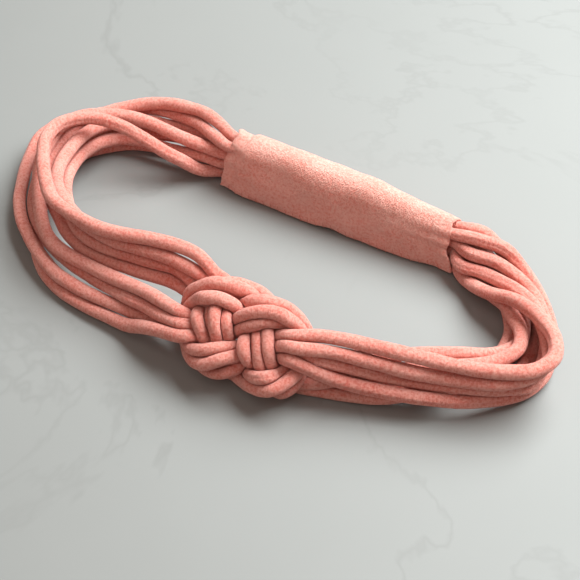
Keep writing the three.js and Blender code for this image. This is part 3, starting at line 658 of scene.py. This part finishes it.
def cord_mesh(name, number, cord, angles, material):
    """A ring of points at each step of the centreline, squeezed flat where cords meet."""
    random = np.random.default_rng(CORD_SEED + number)
    along, centres, rays = cord["along"], cord["centres"], cord["rays"]
    radius = cord["radius"][:, None]
    swell = 1 + SWELL * wander(random, along, angles, **SWELL_WAVES)
    wrinkle = WRINKLE * wander(random, along, angles, **WRINKLE_WAVES)
    fold_angle = 2 * math.pi * random.random()
    wandered = np.sin(along / FOLD_WANDER_LENGTH + 6 * random.random())
    fold_angle = fold_angle + FOLD_WANDER * wandered
    turned = np.angle(np.exp(1j * (angles[None] - fold_angle[:, None])))
    fold = FOLD * np.exp(-((turned / FOLD_WIDTH) ** 2))
    free_reach = radius * (swell + wrinkle - fold)
    limits = cord["limits"]
    squeeze = (1 + (free_reach / limits) ** CONTACT_SHARPNESS) ** (-1 / CONTACT_SHARPNESS)
    reach = free_reach * squeeze
    rings = centres[:, None] + rays * reach[:, :, None]
    count, sides = rings.shape[:2]
    vertices = rings.reshape(-1, 3)
    vertices[:, 2] = np.maximum(vertices[:, 2], LOWEST_POINT)

    i, k = grid_faces(count - 1, sides)
    this_ring, next_ring = i * sides, (i + 1) * sides
    after = (k + 1) % sides
    faces = np.stack([this_ring + k, this_ring + after, next_ring + after, next_ring + k], 1)
    wale = WALES_ROUND / sides
    course = along / COURSE
    uvs = np.stack([
        np.stack([k * wale, course[i]], 1),
        np.stack([(k + 1) * wale, course[i]], 1),
        np.stack([(k + 1) * wale, course[i + 1]], 1),
        np.stack([k * wale, course[i + 1]], 1),
    ], 1).reshape(-1, 2)
    first_cap = list(range(sides))[::-1]
    last_cap = [(count - 1) * sides + side for side in range(sides)]
    faces = [*faces.tolist(), first_cap, last_cap]
    uvs = np.vstack([uvs, np.zeros((2 * sides, 2))])
    # Painted shade: the colour deepens where the cord is squeezed against a neighbour or the table,
    # and along its fold.
    painted_crease_shade = np.clip(1 - squeeze, 0, 1) + fold
    return make_object(name, vertices, faces, material, uvs, {"painted_crease_shade": painted_crease_shade.ravel()})


# ---- Sleeve: jersey wrapped round the gathered cords, lapped along its lower front ----
SHEET_THICKNESS = 0.9
SHEET_STEP = 0.9
SHEET_WALE = 0.72  # one knit column along the sleeve
SHEET_COURSE = 0.6  # one knit row round it
SHEET_SEED = 7
# The wrap seen from its left end, as distance in from the front and height: from the free edge of
# the lap up the front, over the top, down the back, under, and up behind the lap again.
SECTION = [
    (-2.3, 0.9), (-2.6, 3.5), (-2.4, 7.5), (-1.5, 12), (-0.2, 16.5), (1.4, 20.6), (4.0, 23.6),
    (7.4, 24.8), (10.8, 24.2), (13.2, 21.8), (14.5, 17.5), (14.9, 12), (14.7, 6.5), (13.9, 2.4),
    (11.8, 0.7), (8, 0.5), (3.5, 0.5), (0.9, 0.9), (-0.3, 2.6), (-0.9, 5.5), (-0.7, 8.5),
]
SECTION_SAMPLES = 20
# The wrap is narrower and lower towards its right end.
NARROWING_PART = (62, 98)  # distances along the sleeve
RIGHT_DEPTH_SHARE = 12.2 / 14
RIGHT_HEIGHT_SHARE = 21.6 / 24
# Distances round the section: where the outer face starts and ends, and the part under the lap,
# which is counted back from the section's end.
FACE_START = (6, 12)
FACE_END = (44, 52)
UNDERNEATH = (30, 24)
# How the cloth stands off that section: a plump left half, buckles, and a fine unevenness.
PLUMP = 0.35
PLUMP_LENGTH = 70
BUCKLE = 0.30
BUCKLE_WAVES = {"waves": 8, "shortest": 14, "longest": 45}
GRAIN = 0.05
GRAIN_WAVES = {"waves": 10, "shortest": 3, "longest": 8}
# The folded hem at the left end, and the step up behind it.
HEM_WIDTH = 7.5
HEM_SLANT = 0.05
HEM_SLANT_CENTRE = 24
HEM_STEP = 0.7
HEM_DEPTH = 0.4
HEM_SINK = 0.06
HEM_RISE = 0.8
HEM_RISE_LENGTH = 25
# The cords inside, faint near the mouths.
CORDS_SHOW = 0.35
CORDS_SHOW_PITCH = 5.3
CORDS_SHOW_LEFT = 9
CORDS_SHOW_RIGHT = 12
# The lap's free edge.
LAP_EDGE_WIDTH = 7
LAP_WAVES = ((0.7, 8.3, 1.1), (0.45, 3.9, 0.4), (0.25, 2.1, 0))  # share, length, phase
LAP_WAVE = 0.7
LAP_DROP = 0.2
LAP_STAND_OFF = 0.35
LAP_STAND_OFF_LENGTH = 5.7
LAP_CLEARANCE = 0.05
# How the cloth draws in against the cords at the mouths.
RIGHT_DRAW_LENGTH = 16
LEFT_DRAW_LENGTH = 12
LEFT_DRAW = 0.8
DRAW_CENTRE = 6
DRAW_FADE = 5
DRAW_FRONT = 0.4
DRAW_LOW_FRONT = 1.1
DRAW_LOW_PART = (7, 15)
DRAW_BACK = 1.0
DRAW_DOWN = 0.02
# The hem's upper corner, the lower right lip, and the raw edges.
FLARE_UP = 2.4
FLARE_IN = 0.8
FLARE_LENGTH = 5
FLARE_PART = (13, 22)
LIP = 1.5
LIP_PART = (8, 15)
LIP_LENGTH = 7
LEFT_EDGE_LENGTH = 5
LEFT_EDGE_WAVES = ((0.5, 3.1, 0), (0.3, 1.3, 0))
RIGHT_EDGE_LENGTH = 6
RIGHT_EDGE_WAVES = ((0.5, 2.7, 1), (0.3, 1.1, 0))
CURL = 3.4
CURL_PART = (5, 15)


def sleeve_arrays():
    """Distances along the sleeve and round its section, and the section's points and normals."""
    spans = len(SECTION) - 1
    section = catmull_rom(SECTION, np.arange(spans * SECTION_SAMPLES + 1) / SECTION_SAMPLES)
    lengths = lengths_along(section)
    around = np.linspace(0, lengths[-1], int(lengths[-1] / SHEET_STEP) + 1)
    section = np.stack([np.interp(around, lengths, section[:, axis]) for axis in (0, 1)], 1)
    slope = unit(np.gradient(section, axis=0))
    outward = np.stack([-slope[:, 1], slope[:, 0]], 1)
    along = np.linspace(0, SLEEVE_LENGTH, int(SLEEVE_LENGTH / SHEET_STEP) + 1)
    return along, around, section, outward


def soft_noise(random, x, y, waves, shortest, longest):
    """A smooth random field over the sheet, about -1 to 1."""
    field = np.zeros(np.broadcast(x, y).shape)
    for _ in range(waves):
        wavelength = shortest * (longest / shortest) ** random.random()
        direction = random.random() * math.pi
        phase = random.random() * 2 * math.pi
        across = x * math.cos(direction) + y * math.sin(direction)
        field = field + np.cos(2 * math.pi * across / wavelength + phase)
    return field / math.sqrt(waves)


def faded(distance, length):
    return np.exp(-distance / length)


def waved(distance, waves):
    """The sum of the sine waves, each with its size, length and phase."""
    return sum(size * np.sin(distance / length + phase) for size, length, phase in waves)


def build_sleeve(material):
    """The sleeve's mesh object, the grid of points of its sheet, and the distances round it."""
    random = np.random.default_rng(SHEET_SEED)
    along, around, section, outward = sleeve_arrays()
    s, t = np.meshgrid(along, around, indexing="ij")
    to_right = SLEEVE_LENGTH - s
    depth = np.broadcast_to(section[:, 0], s.shape)
    height = np.broadcast_to(section[:, 1], s.shape)

    narrowing = smoothstep(s, *NARROWING_PART)
    swell = PLUMP * np.sin(math.pi * np.clip(s / PLUMP_LENGTH, 0, 1))
    swell = swell + BUCKLE * soft_noise(random, s, t, **BUCKLE_WAVES)
    swell = swell + GRAIN * soft_noise(random, s, t, **GRAIN_WAVES)
    underneath = smoothstep(t, around[-1] - UNDERNEATH[0], around[-1] - UNDERNEATH[1])
    # The hem: the first few millimetres lie lower, and the cloth steps up over them on a slant.
    step_at = HEM_WIDTH + HEM_SLANT * (t - HEM_SLANT_CENTRE)
    on_face = smoothstep(t, *FACE_START) * (1 - smoothstep(t, *FACE_END))
    hem = on_face * (1 - smoothstep(s, step_at - HEM_STEP, step_at + HEM_STEP))
    swell = swell - hem * (HEM_DEPTH + HEM_SINK * np.maximum(step_at - s, 0))
    rise = HEM_RISE * (on_face - hem)
    swell = swell + rise * faded(np.maximum(s - step_at, 0), HEM_RISE_LENGTH)
    # The cords show faintly through near each mouth.
    mouth = faded(s, CORDS_SHOW_LEFT) + faded(to_right, CORDS_SHOW_RIGHT)
    ribs = np.cos(2 * math.pi * height / CORDS_SHOW_PITCH)
    swell = swell + CORDS_SHOW * mouth * on_face * ribs
    swell = swell * (1 - underneath)
    depth = depth + swell * outward[:, 0][None]
    height = height + swell * outward[:, 1][None]

    # The lap's free edge is wavy and stands away from the cloth behind it.
    free_edge = 1 - smoothstep(t, 0, LAP_EDGE_WIDTH)
    height = height + free_edge * (LAP_WAVE * waved(s, LAP_WAVES) - LAP_DROP)
    stand_off = LAP_STAND_OFF + LAP_STAND_OFF * np.sin(s / LAP_STAND_OFF_LENGTH)
    depth = depth - free_edge * stand_off
    height = np.maximum(height, SHEET_THICKNESS / 2 + LAP_CLEARANCE)

    depth = depth * (1 + narrowing * (RIGHT_DEPTH_SHARE - 1))
    height = height * (1 + narrowing * (RIGHT_HEIGHT_SHARE - 1))
    # The cloth draws in against the cords at each mouth.
    draw = smoothstep(s, SLEEVE_LENGTH - RIGHT_DRAW_LENGTH, SLEEVE_LENGTH)
    draw = draw + LEFT_DRAW * (1 - smoothstep(s, 0, LEFT_DRAW_LENGTH))
    low = 1 - smoothstep(height, *DRAW_LOW_PART)
    inward = np.where(depth < DRAW_CENTRE, DRAW_FRONT + DRAW_LOW_FRONT * low, -DRAW_BACK)
    depth = depth + draw * inward * smoothstep(np.abs(depth - DRAW_CENTRE), 0, DRAW_FADE)
    height = height * (1 - DRAW_DOWN * draw)
    # The hem's upper corner stands up a little, and the lower front edge flares over the cords.
    flare = faded(s, FLARE_LENGTH) * smoothstep(height, *FLARE_PART)
    height = height + FLARE_UP * flare
    depth = depth + FLARE_IN * flare
    at_end = smoothstep(s, SLEEVE_LENGTH - LIP_LENGTH, SLEEVE_LENGTH)
    depth = depth - LIP * ((1 - smoothstep(t, *LIP_PART)) * at_end)
    slant = SLEEVE_SLANT * height * (1 - s / SLEEVE_LENGTH)
    # Raw edges wander a little, and a curl of the lap runs past the right mouth.
    left_edge = faded(s, LEFT_EDGE_LENGTH) * waved(t, LEFT_EDGE_WAVES)
    right_edge = waved(t, RIGHT_EDGE_WAVES) + CURL * (1 - smoothstep(t, *CURL_PART))
    right_edge = faded(to_right, RIGHT_EDGE_LENGTH) * right_edge
    x = SLEEVE_LEFT + s + slant + left_edge + right_edge
    points = np.stack([x, SLEEVE_FRONT + depth, height], 2)

    rows, columns = s.shape
    i, k = grid_faces(rows - 1, columns - 1)
    here, beyond = i * columns + k, (i + 1) * columns + k
    faces = np.stack([here, beyond, beyond + 1, here + 1], 1)
    corner_s = np.stack([along[i], along[i + 1], along[i + 1], along[i]], 1)
    corner_t = np.stack([around[k], around[k], around[k + 1], around[k + 1]], 1)
    uvs = np.stack([corner_s / SHEET_WALE, corner_t / SHEET_COURSE], 2).reshape(-1, 2)
    sleeve = make_object("jersey_sleeve", points.reshape(-1, 3), faces.tolist(), material, uvs)
    thickness = sleeve.modifiers.new("thickness", "SOLIDIFY")
    thickness.thickness = SHEET_THICKNESS * MM
    thickness.offset = 0
    smooth = sleeve.modifiers.new("smooth", "SUBSURF")
    smooth.levels = 1
    smooth.render_levels = 1
    return sleeve, points, around


# ---- The seam's thread ----
STITCH_SPACING = 4  # in steps of the sheet
STITCH_RADIUS = 0.12
STITCH_HEIGHT = 2.6
STITCH_SIDES = 6
STITCH_RINGS = 9


def build_seam_stitches(points, around, material):
    """Whip stitches over the lap's free edge."""
    edge = int(np.searchsorted(around, STITCH_HEIGHT))
    outward = np.array([0, -1.0, 0])
    surface = SHEET_THICKNESS / 2
    angles = np.arange(STITCH_SIDES) * math.pi / 3
    vertices, faces = [], []
    for row in np.arange(5, len(points) - 5, STITCH_SPACING):
        upper = points[row, edge] + outward * (surface + 0.12)
        lower = points[row + 1, 0] + outward * (surface + 0.05) + np.array([0, 0, -0.1])
        lower[2] = max(lower[2], 0.3)
        middle = (upper + lower) / 2 + outward * 0.1
        path = [upper + np.array([0, 0.5, 0.1]), upper, middle, lower]
        path = catmull_rom(path, np.linspace(0, 3, STITCH_RINGS))
        normals, binormals = travelling_frames(path)
        base = len(vertices)
        for centre, normal, binormal in zip(path, normals, binormals):
            vertices += [
                centre + STITCH_RADIUS * (normal * math.cos(angle) + binormal * math.sin(angle))
                for angle in angles
            ]
        first, last = base, base + (STITCH_RINGS - 1) * STITCH_SIDES
        for ring in range(first, last, STITCH_SIDES):
            for side in range(STITCH_SIDES):
                after = (side + 1) % STITCH_SIDES
                following = ring + STITCH_SIDES
                faces.append([ring + side, ring + after, following + after, following + side])
        faces.append([first + side for side in range(STITCH_SIDES)][::-1])
        faces.append([last + side for side in range(STITCH_SIDES)])
    return make_object("seam_stitches", vertices, faces, material)


# ---- Materials ----
# Linear colours of the jersey: its usual tone, the shade in its hollows, and its loose fibres.
CORD_COLOURS = ((0.89, 0.23, 0.175, 1), (0.54, 0.05, 0.034, 1), (0.95, 0.49, 0.415, 1))
SLEEVE_COLOURS = ((0.93, 0.35, 0.28, 1), (0.70, 0.125, 0.085, 1), (0.97, 0.58, 0.50, 1))
CORD_KNIT_DEPTH = 0.22
SLEEVE_KNIT_DEPTH = 0.18
LEG_SLANT = 0.6  # how far a stitch's legs run along its column, in rows
FUZZ_SCALE = 980
BLOTCH_SCALE = 90
SPECKLE_RANGE = (0.40, 0.60)
# How much painted shade darkens the knit's hollows.
HOLLOW_SHADE_SHARE = 0.22
DARK_SPECKLES = 0.30
PALE_SPECKLES = 0.52
# How strongly the painted crease shade deepens the cord's colour, and the most it may.
CREASE_SHADE_GAIN = 1.8
CREASE_SHADE_MOST = 0.75
SHEEN_TINT = (1.0, 0.82, 0.76, 1)
THREAD_COLOURS = ((0.66, 0.19, 0.145, 1), (0.82, 0.32, 0.25, 1))
THREAD_TWIST_SCALE = 900
STONE_COLOURS = ((0.215, 0.224, 0.222, 1), (0.245, 0.254, 0.252, 1))
VEIN_COLOUR = (0.15, 0.153, 0.15, 1)
VEIN_WIDTH = 0.012
VEIN_STRENGTH = 0.6


class Nodes:
    """A new material, with short ways to make its shader nodes and join them."""

    def __init__(self, name):
        self.material = bpy.data.materials.new(name)
        self.material.use_nodes = True
        self.tree = self.material.node_tree
        self.tree.nodes.clear()

    def feed(self, socket, value):
        """Links another node's output to the socket, or sets the socket's own value."""
        if isinstance(value, bpy.types.NodeSocket):
            self.tree.links.new(value, socket)
        else:
            socket.default_value = value

    def add(self, kind, inputs=(), **settings):
        node = self.tree.nodes.new(kind)
        for key, value in settings.items():
            setattr(node, key, value)
        for key, value in dict(inputs).items():
            self.feed(node.inputs[key], value)
        return node

    def math(self, operation, a, b=0.0, c=0.0):
        node = self.add("ShaderNodeMath", operation=operation)
        for socket, value in zip(node.inputs, (a, b, c)):
            self.feed(socket, value)
        return node.outputs[0]

    def mix(self, factor, a, b):
        node = self.add("ShaderNodeMix", data_type="RGBA")
        for socket, value in ((node.inputs[0], factor), (node.inputs[6], a), (node.inputs[7], b)):
            self.feed(socket, value)
        return node.outputs[2]

    def ramp(self, value, start, end, first=0.0, last=1.0):
        """The value's place between start and end, as a number from first to last."""
        return self.add("ShaderNodeMapRange", {
            "Value": value, "From Min": start, "From Max": end, "To Min": first, "To Max": last,
        }).outputs[0]

    def noise(self, place, scale, detail, roughness, distortion=0.0):
        return self.add("ShaderNodeTexNoise", {
            "Vector": place, "Scale": scale, "Detail": detail, "Roughness": roughness,
            "Distortion": distortion,
        }).outputs["Fac"]

    def shade(self, **inputs):
        """Ends the material in a Principled shader with these inputs, and returns it."""
        named = {key.replace("_", " "): value for key, value in inputs.items()}
        shader = self.add("ShaderNodeBsdfPrincipled", named)
        self.add("ShaderNodeOutputMaterial", {"Surface": shader.outputs[0]})
        return self.material


def knit_height(nodes):
    """Height of plain knit, 0 to 1: two slanting legs to a stitch, and one stitch a UV unit."""
    uv = nodes.add("ShaderNodeUVMap", uv_map="stitches").outputs[0]
    split = nodes.add("ShaderNodeSeparateXYZ", {"Vector": uv})
    column, row = split.outputs[0], split.outputs[1]
    across = nodes.math("ABSOLUTE", nodes.math("SUBTRACT", nodes.math("FRACT", column), 0.5))
    leg = nodes.math("MULTIPLY", across, 2.0)
    bump = nodes.math("SINE", nodes.math("MULTIPLY", leg, math.pi))
    turn = nodes.math("ADD", row, nodes.math("MULTIPLY", leg, LEG_SLANT))
    wave = nodes.math("SINE", nodes.math("MULTIPLY", turn, 2 * math.pi))
    loops = nodes.math("MULTIPLY_ADD", wave, 0.5, 0.5)
    return nodes.math("MULTIPLY", bump, nodes.math("MULTIPLY_ADD", loops, 0.6, 0.4))


def jersey(name, colours, knit_depth, uses_crease_shade):
    base, deep, pale = colours
    nodes = Nodes(name)
    place = nodes.add("ShaderNodeTexCoord").outputs["Object"]
    knit = knit_height(nodes)
    fuzz = nodes.noise(place, FUZZ_SCALE, 4, 0.7)
    blotch = nodes.noise(place, BLOTCH_SCALE, 3, 0.55)
    tone = nodes.mix(nodes.math("MULTIPLY_ADD", blotch, 1.5, -0.45), base, pale)
    # Painted shade deepens the colour in the stitches' hollows, and loose fibres catch the light.
    speckle = nodes.ramp(fuzz, *SPECKLE_RANGE)
    hollow_shade = nodes.math("MULTIPLY", nodes.math("SUBTRACT", 1.0, knit), HOLLOW_SHADE_SHARE)
    shaded = nodes.mix(hollow_shade, tone, deep)
    gaps = nodes.math("MULTIPLY", nodes.math("SUBTRACT", 1.0, speckle), DARK_SPECKLES)
    darker = nodes.mix(gaps, shaded, deep)
    colour = nodes.mix(nodes.math("MULTIPLY", speckle, PALE_SPECKLES), darker, pale)
    if uses_crease_shade:
        # Painted shade deepens the colour where cords press together and along each cord's fold.
        painted_crease_shade = nodes.add("ShaderNodeAttribute", attribute_name="painted_crease_shade").outputs["Fac"]
        crease_shade_amount = nodes.math("MINIMUM", nodes.math("MULTIPLY", painted_crease_shade, CREASE_SHADE_GAIN), CREASE_SHADE_MOST)
        colour = nodes.mix(crease_shade_amount, colour, deep)
    relief = nodes.math("MULTIPLY_ADD", speckle, 1.0, knit)
    bump = nodes.add("ShaderNodeBump", {
        "Height": relief, "Strength": 1.0, "Distance": knit_depth * MM,
    })
    return nodes.shade(
        Base_Color=colour, Roughness=0.92, Specular_IOR_Level=0.18, Sheen_Weight=0.4,
        Sheen_Roughness=0.5, Sheen_Tint=SHEEN_TINT, Normal=bump.outputs[0],
    )


def thread_material(name):
    nodes = Nodes(name)
    place = nodes.add("ShaderNodeTexCoord").outputs["Object"]
    twist = nodes.add("ShaderNodeTexWave", {
        "Vector": place, "Scale": THREAD_TWIST_SCALE, "Distortion": 2, "Detail": 2,
    }).outputs["Fac"]
    colour = nodes.mix(twist, *THREAD_COLOURS)
    bump = nodes.add("ShaderNodeBump", {"Height": twist, "Strength": 0.5, "Distance": 0.1 * MM})
    return nodes.shade(
        Base_Color=colour, Roughness=0.75, Sheen_Weight=0.2, Normal=bump.outputs[0],
    )


def floor_material():
    nodes = Nodes("pale_floor")
    place = nodes.add("ShaderNodeTexCoord").outputs["Object"]
    cloud = nodes.noise(place, 6, 4, 0.6)
    stone = nodes.mix(cloud, *STONE_COLOURS)
    # Faint grey veins, as in polished stone, where a drifting noise passes its middle value.
    drift = nodes.noise(place, 4.5, 6, 0.6, distortion=0.6)
    away = nodes.math("ABSOLUTE", nodes.math("SUBTRACT", drift, 0.5))
    vein = nodes.ramp(away, 0.0, VEIN_WIDTH, first=1.0, last=0.0)
    patchy = nodes.math("MULTIPLY", vein, nodes.math("MULTIPLY_ADD", cloud, 1.6, -0.55))
    colour = nodes.mix(nodes.math("MULTIPLY", patchy, VEIN_STRENGTH), stone, VEIN_COLOUR)
    return nodes.shade(Base_Color=colour, Roughness=0.6)


cord_jersey = jersey("cord_jersey", CORD_COLOURS, CORD_KNIT_DEPTH, uses_crease_shade=True)
sleeve_jersey = jersey("sleeve_jersey", SLEEVE_COLOURS, SLEEVE_KNIT_DEPTH, uses_crease_shade=False)
sewing_thread = thread_material("sewing_thread")

# ---- Cords ----
cord_names = []
cord_routes = []
for number, (lane, left, right) in enumerate(zip(KNOT_LANES, LEFT_LEGS, RIGHT_LEGS), start=1):
    cord_names += [f"left_cord_{number}", f"right_cord_{number}"]
    cord_routes += [cord_nodes(left, lane, is_left=True), cord_nodes(right, lane, is_left=False)]
settled, settled_radii = settle(cord_routes)
rolled_names = [name + "_rolled" for name in cord_names]
for piece, cord in build_cords(rolled_names, settled, settled_radii, cord_jersey):
    node = piece.name.removesuffix("_rolled")
    path = cord["centres"] * MM
    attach(piece, "root")
    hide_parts(node)
    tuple(path[0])

# ---- Sleeve and threads ----
sleeve, sheet_points, sheet_around = build_sleeve(sleeve_jersey)
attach(sleeve, "root")
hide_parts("sleeve")

stitches = build_seam_stitches(sheet_points, sheet_around, sewing_thread)
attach(stitches, "root")
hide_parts("sleeve_seam_thread")
for name in ("left_end_whipping", "right_end_whipping", "end_joining_stitch"):
    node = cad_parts[name]
    node.data.materials.clear()
    node.data.materials.append(sewing_thread)


# ---- Floor and light, in metres ----
FLOOR_SIZE = 6
FLOOR_HEIGHT = -0.0002
# Each light: its name, place, size, power in watts and colour. All point at the origin.
LIGHTS = [
    ("window", (0.28, 0.50, 0.76), (0.85, 0.70), 27, (0.96, 1.0, 0.985)),
    ("fill", (0.0, -0.7, 1.1), (1.4, 1.2), 4.6, (1.0, 0.90, 0.83)),
]
ROOM_COLOUR = (1.0, 0.72, 0.58, 1)
ROOM_STRENGTH = 0.24


def add_floor():
    bpy.ops.mesh.primitive_plane_add(size=FLOOR_SIZE, location=(0, 0, FLOOR_HEIGHT))
    floor = bpy.context.object
    floor.name = "floor"
    floor.data.materials.append(floor_material())


def add_light(name, place, size, power, colour):
    data = bpy.data.lights.new(name, "AREA")
    data.shape = "RECTANGLE"
    data.size, data.size_y = size
    data.energy = power
    data.color = colour
    light = bpy.data.objects.new(name, data)
    light.location = place
    light.rotation_euler = Vector(place).to_track_quat("Z", "Y").to_euler()
    bpy.context.scene.collection.objects.link(light)


add_floor()
for light_settings in LIGHTS:
    add_light(*light_settings)
world = bpy.data.worlds.new("room")
world.use_nodes = True
background = world.node_tree.nodes["Background"]
background.inputs["Color"].default_value = ROOM_COLOUR
background.inputs["Strength"].default_value = ROOM_STRENGTH
bpy.context.scene.world = world
bpy.context.scene.view_settings.view_transform = "Standard"
